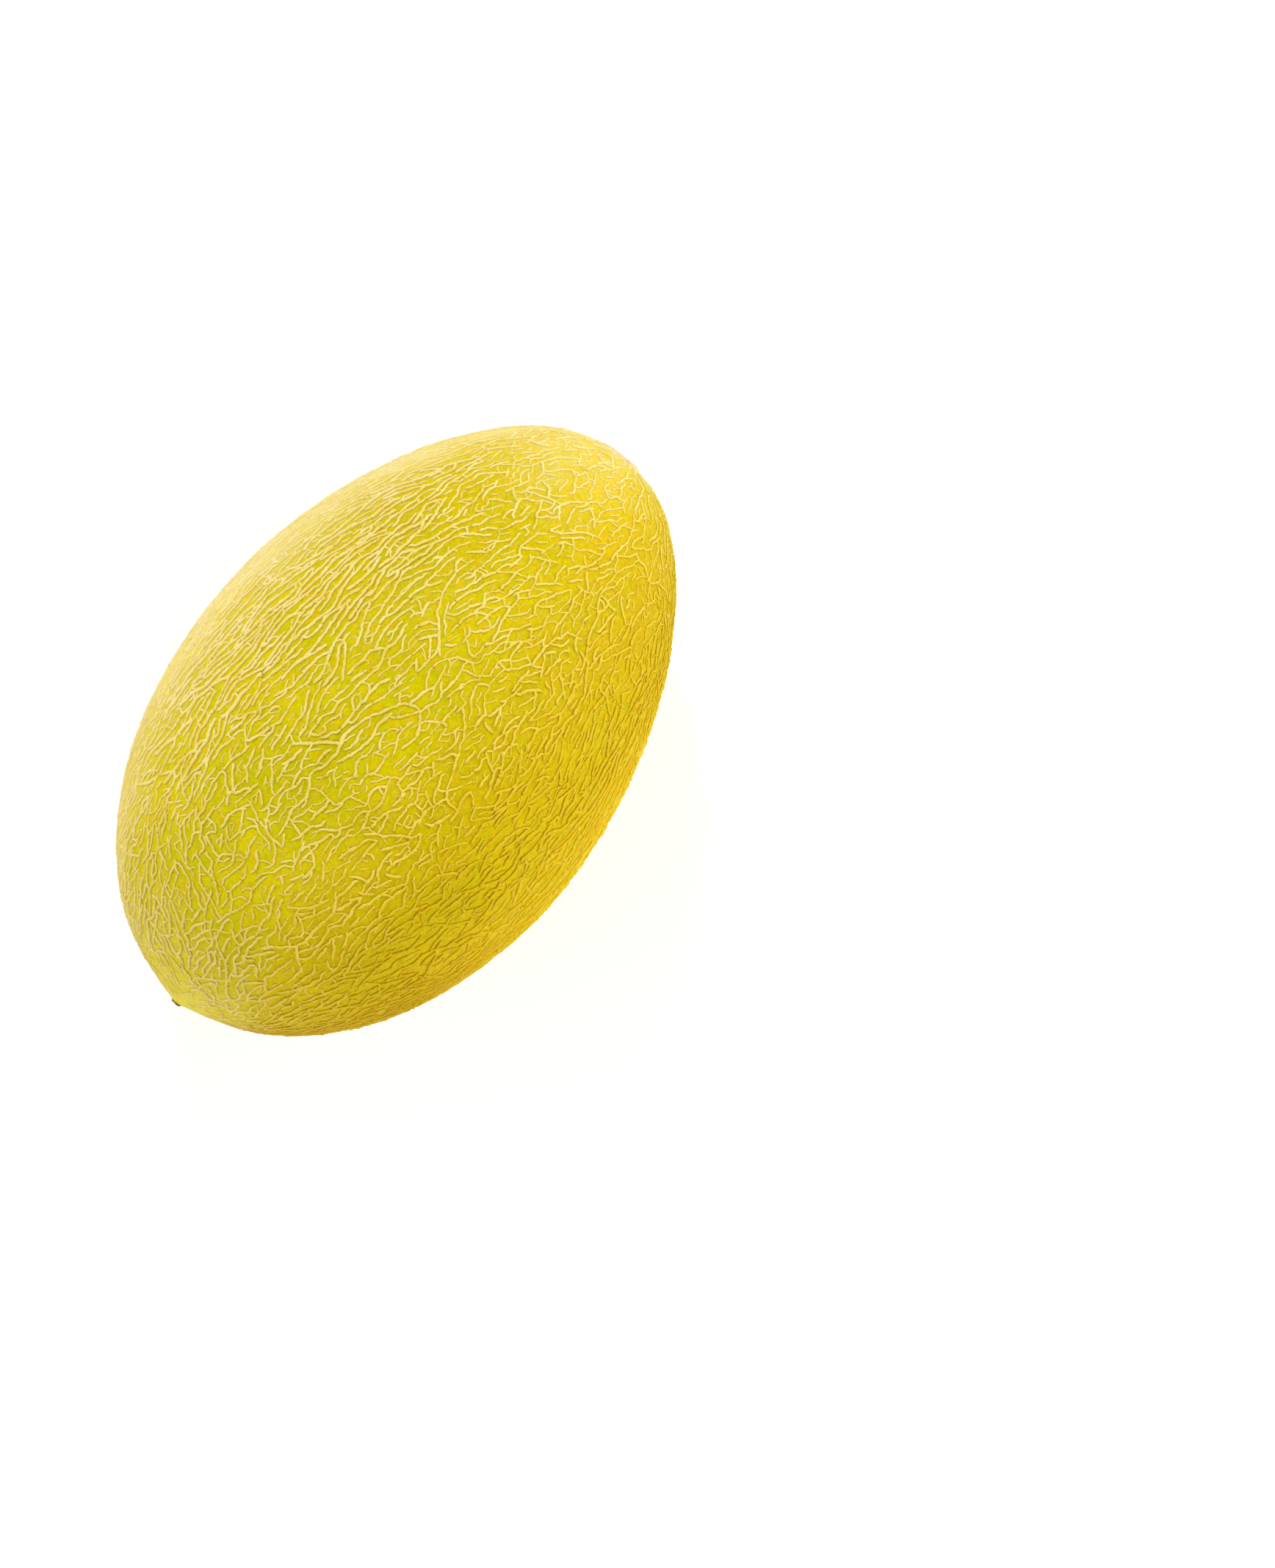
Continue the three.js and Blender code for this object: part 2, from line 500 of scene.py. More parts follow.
def grow_net():
    """The whole net: the long streaks, then shorter and finer lines in the gaps that are left.
    chance is how likely a line is to start at each place."""
    net = Net(7)

    def streaks(q):
        return ease(net.order(q), 0.6, 0.9) * net.strength(q)

    def between(q):
        return net.strength(q) * (1 - 0.72 * ease(net.order(q), 0.66, 0.88))

    net.scatter(16000, 3.6, 3, length=(12, 32), width=(1.0, 1.36), chance=streaks, kink_every=1.8)
    net.scatter(24000, 2.5, 2, length=(3, 11), width=(0.8, 1.16), chance=between, kink_every=1.5)
    net.branch(2200, length=(1.2, 4.0), width=(0.62, 0.92))
    net.scatter(30000, 1.8, 1, length=(1.5, 5), width=(0.62, 0.9), chance=between, kink_every=1.3)
    net.branch(1400, length=(0.9, 2.0), width=(0.52, 0.68))
    net.scatter(40000, 1.3, 0, length=(0.9, 2.6), width=(0.5, 0.7), chance=between, kink_every=1.1)
    return net


# ------------------------------ ridges along the net's lines

RIDGE_STEP = 0.6
# Points across a ridge as (share of the half width, share of the height). None is the foot.
WIDE_PROFILE = ((-1, None), (-0.62, 0.7), (0, 1), (0.62, 0.7), (1, None))
FINE_PROFILE = ((-1, None), (0, 1), (1, None))
FINE = 0.62  # a ridge narrower than this has the fine profile
SINK = 0.14  # how deep a ridge's foot lies under the skin
HEIGHT_SHARE = 0.42  # of a ridge's width
END_TAPER = (0.45, 0.7)  # share of the width left at a free end, and how long it tapers
JOINT_SWELL = (0.18, 0.5)  # share by which a ridge widens at a joint, and how far that reaches
LUMP = 1.0  # how often a ridge changes its width
LUMPS = (0.7, 1.2)  # what its width then changes to, as a share of the line's own
PALE_WIDTHS = (0.4, 0.95)  # the widths between which ridges go from faint to pale
JITTER = 0.06  # how far a ridge strays sideways
ROUGH = 0.12  # share by which each point of a ridge strays from its place
SHORTEST = 0.9  # a line shorter than this makes no ridge


def smoothed(p, rounds=1):
    for _ in range(rounds):
        if len(p) > 2:
            p = np.concatenate([p[:1], (p[:-2] + 2 * p[1:-1] + p[2:]) / 4, p[-1:]])
    return p


def spaced(p, step):
    """The polyline p with points evenly spaced about step apart, and their places along it."""
    along = np.concatenate([[0], np.cumsum(np.linalg.norm(np.diff(p, axis=0), axis=1))])
    at = np.linspace(0, along[-1], max(3, round(along[-1] / step) + 1))
    return np.column_stack([np.interp(at, along, p[:, k]) for k in range(3)]), at


def ridge_widths(at, joined, width, rng):
    """Full width along a line: lumpy, tapered at a free end and a little wider at a joint."""
    knots = np.arange(0, at[-1] + 2, LUMP)
    w = width * np.interp(at, knots, rng.uniform(*LUMPS, len(knots)))
    for meets, distance in zip(joined, (at, at[-1] - at)):
        if meets:
            w *= 1.0 + JOINT_SWELL[0] * np.exp(-distance / JOINT_SWELL[1])
        else:
            w *= END_TAPER[0] + (1 - END_TAPER[0]) * ease(distance, 0, END_TAPER[1])
    return w


def ridge(net, points, joined, width, rng):
    """One line's ridge: rings of places, their crest and pale values and the places' directions
    on the plain body. None if the line is too short."""
    p, at = spaced(smoothed(egg(net.q[points])), RIDGE_STEP)
    if at[-1] < SHORTEST:
        return None
    q = egg_direction(p)
    strength = net.strength(q)
    pale = strength * ease(width, *PALE_WIDTHS)
    w = ridge_widths(at, joined, width, rng) * (0.5 + 0.5 * strength)
    side = np.cross(egg_axes(q)[0], unit(np.gradient(p, axis=0)))
    stray = rng.normal(size=len(q)) * JITTER
    profile = FINE_PROFILE if width < FINE else WIDE_PROFILE
    rings = np.empty((len(q), len(profile), 3))
    flat = np.empty_like(rings)
    for k, (out, up) in enumerate(profile):
        rough_w = w * (1 + ROUGH * rng.normal(size=len(q)))
        if up is None:
            lift = np.full(len(q), -SINK)
        else:
            lift = up * HEIGHT_SHARE * (0.6 + 0.4 * pale) * rough_w
        sideways = side * (out * rough_w / 2 + stray)[:, None]
        rings[:, k] = skin(q, lift) + sideways
        flat[:, k] = egg_direction(p + sideways)
    crest = np.tile([up or 0.0 for _, up in profile], len(q))
    return rings, crest, np.repeat(pale, len(profile)), flat


def ring_faces(first, count, ring):
    """The quads and end caps of a ridge of count rings that starts at vertex first."""
    a = np.arange(ring)
    b = np.roll(a, -1)
    base = first + np.arange(count - 1)[:, None] * ring
    quads = np.stack([base + a, base + b, base + b + ring, base + a + ring], -1).reshape(-1, 4)
    return [*quads.tolist(), (first + a[::-1]).tolist(), (first + (count - 1) * ring + a).tolist()]


def ridges(net):
    """Every line's ridge, listed by the side of the melon that the line's middle lies on."""
    rng = np.random.default_rng(3)
    made = [[] for _ in SIDES]
    for points, start, end, width in net.lines:
        if len(points) >= 4:
            one = ridge(net, points, (start, end), width, rng)
            if one:
                middle = net.q[points[len(points) // 2]]
                made[side_of(middle[None])[0]].append(one)
    return made


# ------------------------------ meshes

def add_object(name, data):
    """A new object in the scene, with the given mesh, lamp or camera."""
    thing = bpy.data.objects.new(name, data)
    bpy.context.scene.collection.objects.link(thing)
    return thing


def closed_mesh(name, places, faces, material):
    """A smooth-shaded object in metres, from places in millimetres."""
    mesh = bpy.data.meshes.new(name)
    mesh.from_pydata((places / 1000).tolist(), [], faces)
    mesh.update()
    mesh.polygons.foreach_set("use_smooth", np.ones(len(mesh.polygons), bool))
    mesh.materials.append(material)
    return add_object(name, mesh)


def add_values(thing, name, values):
    layer = thing.data.attributes.new(name, "FLOAT", "POINT")
    layer.data.foreach_set("value", np.asarray(values, np.float32))


def corner_vertices(mesh):
    """The vertex at each corner of each face."""
    corners = np.empty(len(mesh.loops), np.int32)
    mesh.loops.foreach_get("vertex_index", corners)
    return corners


def add_map(thing, places):
    """The layout that the piece's colours are baked on. places has a row for each corner."""
    layer = thing.data.uv_layers.new(name="OFBake")
    layer.uv.foreach_set("vector", places.astype(np.float32).ravel())


def dress(piece):
    """Puts a finished piece on the part's one body."""
    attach(piece, "root")
    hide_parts("melon")


# ------------------------------ materials

def srgb(r, g, b):
    """A colour's linear values, with full alpha."""
    c = np.array([r, g, b]) / 255
    c = np.where(c <= 0.04045, c / 12.92, ((c + 0.055) / 1.055) ** 2.4)
    return (*map(float, c), 1.0)


GREEN_SKIN = srgb(200, 194, 0)
YELLOW_SKIN = srgb(228, 212, 0)
GOLDEN_SKIN = srgb(230, 180, 0)
# Painted shade: a darker belt of skin along the right.
BELT_SHADE_SKIN = srgb(194, 164, 0)
# Painted shade on the skin, low on the right towards the blossom end.
LOW_SHADE_SKIN = srgb(178, 134, 0)
# Painted sheen: pale skin on the left flank and at both ends, also the blossom end's own haze.
SHEEN_AND_HAZE_SKIN = srgb(244, 221, 120)
GROUND_SPOT_SKIN = srgb(232, 214, 128)
DARK_FLECK = srgb(180, 160, 0)
BRIGHT_FLECK = srgb(240, 222, 16)
ORANGE_FLECK = srgb(236, 180, 0)
VEIN = srgb(232, 206, 36)
HAZE = srgb(236, 212, 60)

# Cork, from its darker to its lighter patches.
PALE_CORK = (srgb(236, 211, 90), srgb(244, 227, 130))
# Painted light: the cork's paler tone on the left.
PAINTED_LIGHT_CORK = (srgb(240, 213, 110), srgb(250, 230, 150))
GOLDEN_CORK = (srgb(238, 200, 24), srgb(246, 211, 58))
SCAR_CORK = (srgb(224, 196, 134), srgb(243, 222, 168))
DRY_STUB = (srgb(122, 88, 28), srgb(176, 140, 62))

BLOSSOM_END_CORK = srgb(216, 186, 62)
# Painted shade on the cork in a belt along the upper right.
BELT_SHADE_CORK = srgb(212, 178, 14)
FAINT_CORK = srgb(222, 198, 40)
# Painted shade on the cork, low on the right towards the blossom end.
LOW_SHADE_CORK = srgb(196, 154, 30)
# Painted sheen: pale cork on the left flank and at both ends, also the blossom end's own haze.
SHEEN_AND_HAZE_CORK = srgb(252, 235, 178)
# Painted shade along the ridges' feet: darkest on the right, lightest on the left.
RIGHT_FOOT_SHADE = srgb(156, 124, 0)
TOP_FOOT_SHADE = srgb(164, 142, 0)
LEFT_FOOT_SHADE = srgb(204, 178, 36)
RIM_FOOT_SHADE = srgb(204, 164, 8)
SCAR_CRACK = srgb(176, 142, 88)
SCAR_PIT = srgb(92, 66, 34)

# Indices of refraction, low enough that the surfaces hardly shine.
WEAK_GLOSS = 1.12
STUB_GLOSS = 1.2


def set_inputs(node, values):
    """Sets a node's inputs, each by its name."""
    for name, value in values.items():
        node.inputs[name].default_value = value


class Graph:
    """A material's nodes. Places are in millimetres, from the Object coordinates."""

    def __init__(self, name):
        self.material = bpy.data.materials.new(name)
        self.material.use_nodes = True
        self.tree = self.material.node_tree
        self.shader = self.tree.nodes["Principled BSDF"]
        coords = self.tree.nodes.new("ShaderNodeTexCoord")
        scale = self.new("ShaderNodeVectorMath", operation="SCALE")
        self.link(coords.outputs["Object"], scale.inputs[0])
        scale.inputs["Scale"].default_value = 1000
        self.place = scale.outputs[0]

    def new(self, kind, **settings):
        node = self.tree.nodes.new(kind)
        for key, value in settings.items():
            setattr(node, key, value)
        return node

    def link(self, source, target):
        self.tree.links.new(source, target)

    def put(self, value, socket):
        """Feeds a socket from another one, or sets it."""
        if isinstance(value, bpy.types.NodeSocket):
            self.link(value, socket)
        else:
            socket.default_value = value

    def noise(self, size, detail=2.0, roughness=0.55, distortion=0.0):
        """Noise with features about size millimetres across, from 0 to 1."""
        node = self.new("ShaderNodeTexNoise")
        self.link(self.place, node.inputs["Vector"])
        set_inputs(node, {"Scale": 1 / size, "Detail": detail, "Roughness": roughness})
        node.inputs["Distortion"].default_value = distortion
        return node.outputs["Fac"]

    def veins(self, size):
        """Distance to the edges of cells size millimetres across, in a wandering pattern."""
        wander = self.new("ShaderNodeTexNoise")
        self.link(self.place, wander.inputs["Vector"])
        wander.inputs["Scale"].default_value = 0.8 / size
        add = self.new("ShaderNodeVectorMath", operation="MULTIPLY_ADD")
        self.link(wander.outputs["Color"], add.inputs[0])
        add.inputs[1].default_value = (size * 1.5,) * 3
        self.link(self.place, add.inputs[2])
        node = self.new("ShaderNodeTexVoronoi", feature="DISTANCE_TO_EDGE")
        self.link(add.outputs[0], node.inputs["Vector"])
        node.inputs["Scale"].default_value = 1 / size
        return node.outputs["Distance"]

    def fit(self, value, low, high, to_low=0.0, to_high=1.0):
        """value taken smoothly from the range low-high to the range to_low-to_high."""
        node = self.new("ShaderNodeMapRange", interpolation_type="SMOOTHSTEP")
        self.put(value, node.inputs["Value"])
        set_inputs(node, {"From Min": low, "From Max": high, "To Min": to_low, "To Max": to_high})
        return node.outputs["Result"]

    def math(self, operation, a, b=0.0):
        node = self.new("ShaderNodeMath", operation=operation)
        self.put(a, node.inputs[0])
        self.put(b, node.inputs[1])
        return node.outputs[0]

    def times(self, product, *values):
        """All the values multiplied."""
        for value in values:
            product = self.math("MULTIPLY", product, value)
        return product

    def mix(self, share, a, b):
        """The colour a with a share of b in it."""
        node = self.new("ShaderNodeMix", data_type="RGBA")
        for key, v in (("Factor_Float", share), ("A_Color", a), ("B_Color", b)):
            self.put(v, next(s for s in node.inputs if s.identifier == key))
        return next(s for s in node.outputs if s.identifier == "Result_Color")

    def axes(self):
        node = self.new("ShaderNodeSeparateXYZ")
        self.link(self.place, node.inputs[0])
        return node.outputs

    def value(self, name):
        node = self.new("ShaderNodeAttribute", attribute_name=name)
        return node.outputs["Fac"]

    def bump(self, height, distance_mm):
        node = self.new("ShaderNodeBump")
        node.inputs["Distance"].default_value = distance_mm / 1000
        self.link(height, node.inputs["Height"])
        self.link(node.outputs["Normal"], self.shader.inputs["Normal"])

    def finish(self, colour, grain, rough, gloss):
        """The finished material. Its roughness wanders between the two values of rough, in
        patches about grain millimetres across."""
        self.link(colour, self.shader.inputs["Base Color"])
        roughness = self.fit(self.noise(grain, 3), 0.3, 0.7, *rough)
        self.link(roughness, self.shader.inputs["Roughness"])
        self.shader.inputs["IOR"].default_value = gloss
        return self.material


def broad_colour(g, x, y, z):
    """Yellow-green on top to golden on the right and at the stem end, in clouds, with a belt of
    painted shade between them."""
    colour = g.mix(g.fit(g.noise(30, 3), 0.35, 0.65, 0.0, 0.8), GREEN_SKIN, YELLOW_SKIN)
    side = g.math("ADD", g.fit(y, 5, -58, 0, 0.55), g.fit(z, 60, 5, 0, 0.5))
    stem = g.fit(x, 5, 85, 0, 0.6)
    clouds = g.fit(g.noise(16, 3), 0.25, 0.75, 0.4, 1.0)
    warm = g.times(g.math("ADD", side, stem), clouds)
    colour = g.mix(g.math("MINIMUM", warm, 0.9), colour, GOLDEN_SKIN)
    # Painted shade in a belt along the right.
    shade = g.times(g.fit(y, -6, -24, 0, 0.4), g.fit(y, -46, -30))
    return g.mix(shade, colour, BELT_SHADE_SKIN)


def fine_marks(g, colour):
    """The colour with small dark, bright and orange flecks, faint corky veins and a thin haze."""
    colour = g.mix(g.fit(g.noise(0.9, 4, 0.75), 0.42, 0.64, 0, 0.5), colour, DARK_FLECK)
    colour = g.mix(g.fit(g.noise(1.1, 4, 0.7), 0.5, 0.68, 0, 0.55), colour, BRIGHT_FLECK)
    colour = g.mix(g.fit(g.noise(2.0, 5, 0.7, 0.4), 0.5, 0.64, 0, 0.55), colour, ORANGE_FLECK)
    vein = g.times(g.fit(g.veins(1.5), 0.16, 0.05), g.fit(g.noise(2.0, 2), 0.4, 0.6, 0, 0.3))
    colour = g.mix(vein, colour, VEIN)
    return g.mix(g.fit(g.noise(6.0, 4, 0.65), 0.60, 0.78, 0, 0.12), colour, HAZE)


def skin_colour(g):
    """Yellow to golden skin, with painted shade low on the right, painted sheen on the left and at
    both ends, partly the blossom end's own pale haze, and pale on the ground spot."""
    x, y, z = g.axes()
    # Painted shade low on the right.
    colour = g.mix(low_shade(g), broad_colour(g, x, y, z), LOW_SHADE_SKIN)
    colour = fine_marks(g, colour)
    ground = g.times(g.fit(z, 4, 0.2), g.fit(g.noise(4, 4), 0.2, 0.6, 0.45, 0.85))
    colour = g.mix(ground, colour, GROUND_SPOT_SKIN)
    # Painted sheen on the left flank and at both ends.
    return g.mix(g.fit(sheen_and_haze(g), 0.05, 1, 0, 1.1), colour, SHEEN_AND_HAZE_SKIN)


def turn_value(g):
    """Angle about the long axis, as around() gives it."""
    _, y, z = g.axes()
    return g.math("ARCTAN2", y, g.math("SUBTRACT", z, RADIUS))


def low_shade(g):
    """How far painted shade darkens the skin and the net: low on the right, towards the blossom
    end.
    """
    turn = turn_value(g)
    band = g.times(g.fit(turn, -0.8, -1.35), g.fit(turn, -2.5, -1.6))
    patchy = g.fit(g.noise(16, 5, 0.6), 0.25, 0.7, 0.45, 1.0)
    return g.times(band, g.fit(g.axes()[0], 0, -60, 0, 0.62), patchy)


def sheen_and_haze(g):
    """How far painted sheen pales the skin and the net: on the left flank, at the stem end and at
    the blossom end, where the end's own pale haze is in it too.
    """
    x, y, _ = g.axes()
    turn = turn_value(g)
    # Painted sheen on the left flank and at the stem end.
    flank = g.times(g.fit(turn, 0.7, 1.25), g.fit(turn, 1.85, 1.3), g.fit(x, -55, -10, 0.42, 0.7))
    stem = g.times(g.fit(x, 50, 90, 0, 0.52), g.fit(y, -24, 10))
    patchy = g.fit(g.noise(12, 5, 0.65), 0.3, 0.65, 0.6, 1)
    both = g.times(patchy, g.math("MAXIMUM", flank, stem))
    speckled = g.fit(g.noise(6, 5, 0.65), 0.3, 0.65, 0.3, 1)
    # At the blossom end, partly its own pale haze and partly painted sheen.
    blossom = g.times(g.fit(x, -55, -88, 0, 0.36), speckled, g.fit(y, -26, -12))
    return g.math("MAXIMUM", both, blossom)


def shade_belt(g):
    """How far painted shade darkens the net: along the upper right, more so towards the blossom
    end.
    """
    x, y, z = g.axes()
    across = g.times(g.fit(y, -22, -38), g.fit(y, -55, -46))
    along = g.times(g.fit(x, 30, -50, 0.3, 0.7), g.fit(x, -74, -54))
    return g.times(across, along, g.fit(z, 40, 64))


def skin_material():
    g = Graph("melon_skin")
    g.bump(g.noise(0.9, 3, 0.6), 0.13)
    return g.finish(skin_colour(g), 3.0, (0.40, 0.56), WEAK_GLOSS)


def crest_colour(g, x, y, z):
    """Cream, paler on the left and golden on the right, partly its own tone and partly painted
    light, its tone near the skin's where the net is faint."""
    tone = g.fit(g.noise(5.5, 3, 0.6), 0.3, 0.7)
    pale, painted_light, golden = (g.mix(tone, *cork) for cork in (PALE_CORK, PAINTED_LIGHT_CORK, GOLDEN_CORK))
    low_or_stem_end = g.math("MAXIMUM", g.fit(z, 56, 34), g.fit(x, 88, 92))
    # Golden on the right to cream further left: partly the cork's own tone, partly painted light.
    crest = g.mix(g.math("MAXIMUM", g.fit(y, -46, 14), low_or_stem_end), golden, pale)
    # Painted light: paler still on the left.
    crest = g.mix(g.fit(y, 12, 40), crest, painted_light)
    crest = g.mix(g.fit(x, -30, -85, 0, 0.5), crest, BLOSSOM_END_CORK)
    # Painted shade in a belt along the upper right.
    crest = g.mix(shade_belt(g), crest, BELT_SHADE_CORK)
    return g.mix(g.fit(g.value("pale"), 0, 1, 0.6, 0), crest, FAINT_CORK)


def cork_material():
    """Dry cork, pale on the crests of the ridges, with painted shade along their feet."""
    g = Graph("melon_cork")
    x, y, z = g.axes()
    ragged = g.times(g.math("SUBTRACT", g.noise(0.5, 3, 0.7), 0.5), 0.9)
    edge = g.math("ADD", g.value("crest"), ragged)
    # Painted shade along the ridges' feet, darker on the right than on the left.
    foot = g.mix(g.fit(y, -35, 0), RIGHT_FOOT_SHADE, TOP_FOOT_SHADE)
    foot = g.mix(g.fit(y, 20, 46), foot, LEFT_FOOT_SHADE)
    foot = g.mix(g.fit(y, -44, -56), foot, RIM_FOOT_SHADE)
    colour = g.mix(g.fit(edge, 0.15, 0.9), foot, crest_colour(g, x, y, z))
    # Painted shade low on the right.
    colour = g.mix(low_shade(g), colour, LOW_SHADE_CORK)
    # Painted sheen on the left flank and at both ends.
    colour = g.mix(sheen_and_haze(g), colour, SHEEN_AND_HAZE_CORK)
    g.bump(g.noise(0.5, 2, 0.6), 0.08)
    return g.finish(colour, 1.2, (0.62, 0.8), WEAK_GLOSS)


def scar_material():
    """Pale, dry cork, brown in its cracks and in the pit."""
    g = Graph("scar_cork")
    colour = g.mix(g.fit(g.noise(1.6, 4, 0.65), 0.3, 0.7), *SCAR_CORK)
    colour = g.mix(g.fit(g.value("crack"), 0.4, 1.2, 0, 0.5), colour, SCAR_CRACK)
    colour = g.mix(g.fit(g.value("pit"), 0.25, 0.8), colour, SCAR_PIT)
    g.bump(g.noise(0.35, 3, 0.6), 0.12)
    return g.finish(colour, 1.2, (0.75, 0.9), WEAK_GLOSS)


def stub_material():
    """Dry brown, in darker and lighter small patches."""
    g = Graph("dry_stub")
    brown = g.mix(g.fit(g.noise(0.6, 4, 0.6), 0.3, 0.7), *DRY_STUB)
    g.bump(g.noise(0.25, 3, 0.6), 0.15)
    return g.finish(brown, 0.5, (0.7, 0.9), STUB_GLOSS)


# ------------------------------ the pieces

MAP_EDGE = 0.01  # share of a map, or of a side's cell in it, that is left empty round it
SPILL = 1.5  # how far past a side's edge its lines' map reaches, in half widths of the side
UNDER_BAND = 0.03  # share of a map that the hidden undersides lie in


def build_skin():
    """The outer skin, one closed surface, with each side mapped to its own cell."""
    place = on_ground(skin(skin_directions))
    piece = closed_mesh("melon_skin", place, skin_quads.tolist(), skin_material())
    corners = corner_vertices(piece.data).reshape(len(SIDES), -1)
    cells = []
    for side, mine in enumerate(corners):
        cell = np.array([side % 3, side // 3])
        inside = 0.5 + (0.5 - MAP_EDGE) * place_on_side(skin_directions[mine], side)
        cells.append((cell + inside) / (3, 2))
    add_map(piece, np.concatenate(cells))
    dress(piece)


def sharpen_feet(piece, crest):
    """Parts the shading of each ridge's hidden underside from that of its walls."""
    mesh = piece.data
    ends = np.empty(2 * len(mesh.edges), np.int32)
    mesh.edges.foreach_get("vertices", ends)
    foot = (crest[ends] == 0).reshape(-1, 2).all(1)
    mesh.attributes.new("sharp_edge", "BOOLEAN", "EDGE").data.foreach_set("value", foot)


def map_ridges(piece, flat, side, crest):
    """Lays a side's ridges out as they lie on it, with their undersides in a band below."""
    corners = corner_vertices(piece.data)
    sizes = np.empty(len(piece.data.polygons), np.int32)
    piece.data.polygons.foreach_get("loop_total", sizes)
    place = np.clip(0.5 + 0.5 * place_on_side(flat[corners], side) / SPILL, 0, 1)
    first = np.concatenate([[0], np.cumsum(sizes)[:-1]])
    under = np.repeat(np.maximum.reduceat(crest[corners], first) == 0, sizes)
    right, up = place.T
    up = np.where(under, UNDER_BAND * up, 2 * UNDER_BAND + (1 - 2 * UNDER_BAND) * up)
    add_map(piece, MAP_EDGE + (1 - 2 * MAP_EDGE) * np.column_stack([right, up]))


def build_netting():
    """The net, in one piece for each side of the melon."""
    material = cork_material()
    for side, mine in enumerate(ridges(grow_net())):
        rings, crests, pales, flats = zip(*mine)
        places = on_ground(np.concatenate([r.reshape(-1, 3) for r in rings]))
        crest = np.concatenate(crests)
        faces, first = [], 0
        for r in rings:
            faces += ring_faces(first, *r.shape[:2])
            first += r.shape[0] * r.shape[1]
        piece = closed_mesh(f"netting_{SIDES[side][0]}", places, faces, material)
        sharpen_feet(piece, crest)
        add_values(piece, "crest", crest)
        add_values(piece, "pale", np.concatenate(pales))
        map_ridges(piece, np.concatenate([f.reshape(-1, 3) for f in flats]), side, crest)
        dress(piece)


def disc(name, end, distance, lift, material):
    """A closed round piece on the pole at x = end, from rings of points at a distance from the
    long axis and lifted off the skin along it. The first ring is the middle of the outside and
    the last the middle of the hidden back, so each shrinks to one point."""
    rings, points = distance.shape
    q = pole_direction(end, distance.ravel(), np.tile(round_angles(points), rings))
    places = skin(q)
    places[:, 0] += end * lift.ravel()
    inner = places[points:-points]
    places = np.concatenate([inner, places[:1], places[-1:]])
    front, back = len(inner), len(inner) + 1
    a = np.arange(points)
    b = np.roll(a, -1)
    base = np.arange(rings - 3)[:, None] * points
    quads = np.stack([base + a, base + a + points, base + b + points, base + b], -1)
    last = (rings - 3) * points
    faces = quads.reshape(-1, 4).tolist()
    faces += [(front, i, j) for i, j in zip(a.tolist(), b.tolist())]
    faces += [(back, last + j, last + i) for i, j in zip(a.tolist(), b.tolist())]
    if end < 0:
        faces = [face[::-1] for face in faces]
    return closed_mesh(name, places, faces, material)


def round_angles(count):
    return np.linspace(0, 2 * math.pi, count, endpoint=False)


def on_circles(distance, angle):
    """Places in a plane, for smooth random values: one for each distance and angle."""
    return np.stack([distance * np.cos(angle), distance * np.sin(angle), 0 * distance * angle], -1)


def disc_rings(reach, count, back_reach, points):
    """Distances from the long axis: count rings out to reach, then the hidden back."""
    distance = np.concatenate([np.linspace(0, reach, count), [back_reach, 0]])
    return np.tile(distance[:, None], (1, points))


SCAR_REACH = 8.4  # where the scar's ragged edge has sunk into the skin
SCAR_BACK = -0.6  # how far the hidden back lies under the skin
SCAR_SINK = 0.3  # how far the edge sinks there
SCAR_RIM = (0.2, 0.8)  # height and reach of the raised rim inside the edge
RAYS = (3.6, 2.0)  # middle and reach of the ring that the cracks from the pit cross


def build_scar():
    """The corky scar where the stem broke away: a ragged disc with cracks and a small pit."""
    rng = np.random.default_rng(21)
    distance = disc_rings(SCAR_REACH, 40, 0.9 * SCAR_REACH, 120)
    angle = round_angles(distance.shape[1])
    circle = on_circles(2.0, angle)
    edge = SCAR[1] * (1 + 0.08 * Waves(rng, 4)(circle))
    edge += 1.5 * np.maximum(Waves(rng, 1.0)(circle), 0) ** 2
    crumbs = Waves(rng, 1.1, 40)(on_circles(distance, angle).reshape(-1, 3)).reshape(distance.shape)
    rays = Waves(rng, 0.9)(circle) * bump(distance - RAYS[0], RAYS[1])
    on_scar = plateau(distance, edge, SCAR_EDGE)
    lift = on_scar * (SCAR[0] + 0.07 * crumbs + 0.09 * rays) - PIT[0] * bump(distance, PIT[1])
    lift += SCAR_RIM[0] * bump(distance - 0.8 * edge, SCAR_RIM[1])
    lift -= SCAR_SINK * ease(distance, edge, SCAR_REACH)
    lift[-2:] = SCAR_BACK
    piece = disc("stem_scar", 1, distance, lift, scar_material())
    outside = distance[1:-1].ravel()
    add_values(piece, "pit", np.concatenate([bump(outside, 1.1), [1, 0]]))
    cracks = np.clip(-(crumbs + rays)[1:-1], 0, 1)
    add_values(piece, "crack", np.concatenate([cracks.ravel(), [0, 0]]))
    dress(piece)


STUB_REACH = 2.1  # where the stub's edge has sunk into the skin
STUB_SINK = 0.25
STUB_BACK = -0.5
STUB_HOLLOW = (0.4, 0.7)  # depth and reach of the hollow in its middle


def build_stub():
    """The dry stub of the flower: a small brown button with a ragged rim and a hollow middle."""
    rng = np.random.default_rng(22)
    distance = disc_rings(STUB_REACH, 16, 1.8, 48)
    circle = on_circles(1.2, round_angles(distance.shape[1]))
    edge = STUB[1] * (1 + 0.10 * Waves(rng, 3)(circle) + 0.08 * Waves(rng, 0.9)(circle))
    top = STUB[0] * (0.93 + 0.10 * Waves(rng, 1.5)(circle))
    lift = np.minimum(top * plateau(distance, edge, STUB_EDGE), STUB[0] * 1.03)
    lift -= STUB_HOLLOW[0] * bump(distance, STUB_HOLLOW[1])
    lift -= COLLAR[0] * bump(distance, COLLAR[1]) + STUB_SINK * ease(distance, edge, STUB_REACH)
    lift[-2:] = STUB_BACK
    dress(disc("blossom_stub", -1, distance, lift, stub_material()))


# ------------------------------ floor, light and camera

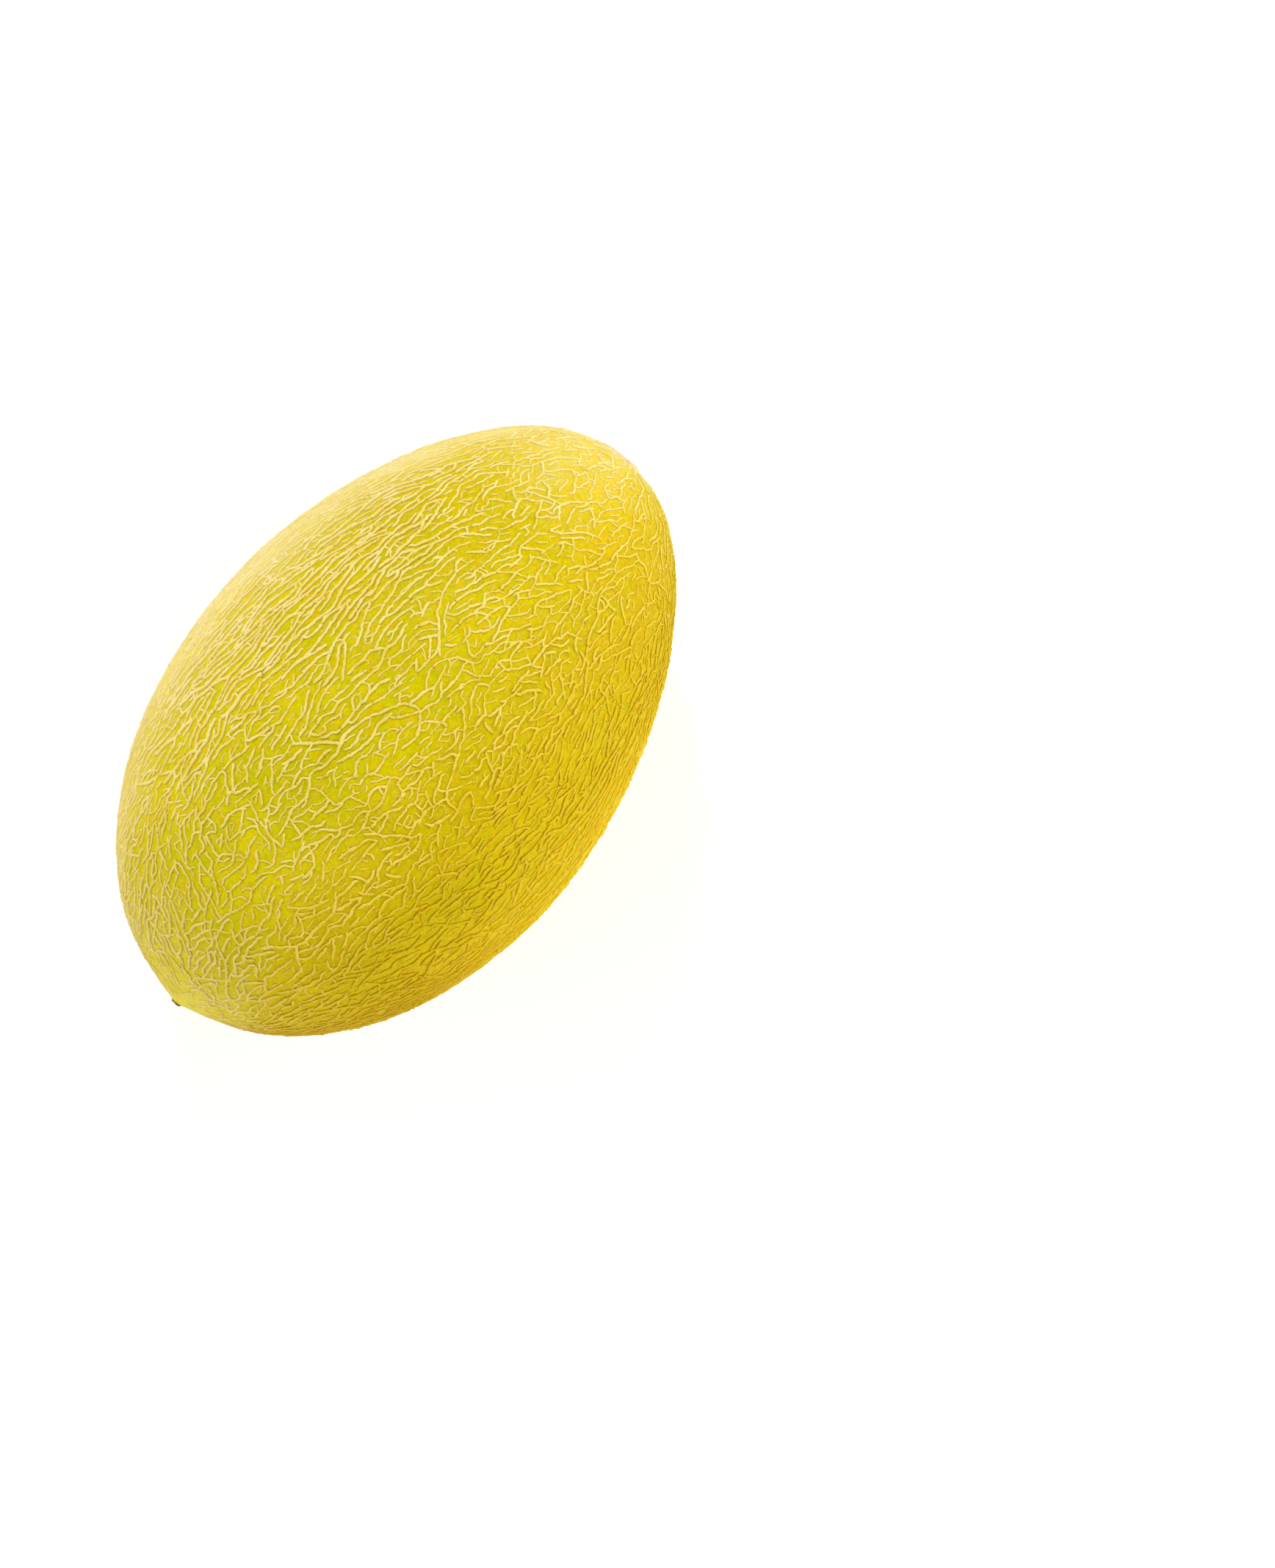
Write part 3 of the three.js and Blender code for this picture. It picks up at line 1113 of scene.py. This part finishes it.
FLOOR_HALF = 12.0
TURN = math.radians(50.75)  # the melon's long axis in the picture, above the horizontal
RIGHT = Vector((math.cos(TURN), -math.sin(TURN), 0))
UP = Vector((math.sin(TURN), math.cos(TURN), 0))
MIDDLE = sum(map(Vector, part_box("melon")), Vector()) / 2
VIEW_HEIGHT = 0.4154  # of what the camera shows at the melon's middle
ASIDE = (0.0630, -0.0139)  # from the melon's middle to the picture's, right and up
LENS = 100.0
SENSOR = 36.0


def build_floor():
    """A pale, matt floor with a glow of its own, as white as the photo's ground."""
    mesh = bpy.data.meshes.new("floor")
    corners = [(FLOOR_HALF * x, FLOOR_HALF * y, 0) for x, y in ((-1, -1), (1, -1), (1, 1), (-1, 1))]
    mesh.from_pydata(corners, [], [(0, 1, 2, 3)])
    material = bpy.data.materials.new("floor")
    material.use_nodes = True
    shader = material.node_tree.nodes["Principled BSDF"]
    matt = {"Base Color": (0.6, 0.6, 0.61, 1), "Roughness": 0.9, "Specular IOR Level": 0.1}
    glow = {"Emission Color": (1, 1, 1, 1), "Emission Strength": 0.55}
    set_inputs(shader, {**matt, **glow})
    mesh.materials.append(material)
    floor = add_object("floor", mesh)


def area_light(name, across, height, size, power):
    """A square lamp aimed at the melon. across is its place to the picture's right and up."""
    lamp = bpy.data.lights.new(name, "AREA")
    lamp.shape = "SQUARE"
    lamp.size = size
    lamp.energy = power
    thing = add_object(name, lamp)
    thing.location = MIDDLE + RIGHT * across[0] + UP * across[1] + Vector((0, 0, height))
    thing.rotation_euler = (MIDDLE - thing.location).to_track_quat("-Z", "Y").to_euler()


def build_world():
    """A pale studio, bright at the level of the eye and dimmer overhead."""
    world = bpy.data.worlds.new("world")
    world.use_nodes = True
    nodes, links = world.node_tree.nodes, world.node_tree.links
    coords = nodes.new("ShaderNodeTexCoord")
    axes = nodes.new("ShaderNodeSeparateXYZ")
    fade = nodes.new("ShaderNodeMapRange")
    fade.interpolation_type = "SMOOTHSTEP"
    links.new(coords.outputs["Generated"], axes.inputs[0])
    links.new(axes.outputs["Z"], fade.inputs["Value"])
    set_inputs(fade, {"From Min": 0.05, "From Max": 0.5, "To Min": 0.76, "To Max": 0.28})
    links.new(fade.outputs["Result"], nodes["Background"].inputs["Strength"])
    nodes["Background"].inputs["Color"].default_value = (1, 1, 1, 1)
    bpy.context.scene.world = world


def build_lights():
    area_light("key", (-0.15, 0.95), height=0.9, size=0.28, power=8.0)
    area_light("left_fill", (-1.0, -0.1), height=0.4, size=0.8, power=2.6)
    area_light("right_fill", (1.0, 0.15), height=0.45, size=0.8, power=6.0)
    area_light("low_fill", (-0.1, -0.9), height=0.8, size=0.8, power=4.6)
    build_world()


def build_camera():
    """A camera that looks straight down, turned as the photo's is."""
    camera = bpy.data.cameras.new("camera")
    camera.lens, camera.sensor_width = LENS, SENSOR
    back = RIGHT.cross(UP)
    place = MIDDLE + RIGHT * ASIDE[0] + UP * ASIDE[1] + back * VIEW_HEIGHT * LENS / SENSOR
    thing = add_object("camera", camera)
    turned = Matrix((RIGHT, UP, back)).transposed().to_4x4()
    thing.matrix_world = Matrix.Translation(place) @ turned
    bpy.context.scene.camera = thing


build_skin()
build_netting()
build_scar()
build_stub()
build_floor()
build_lights()
build_camera()
bpy.context.scene.view_settings.view_transform = "Standard"
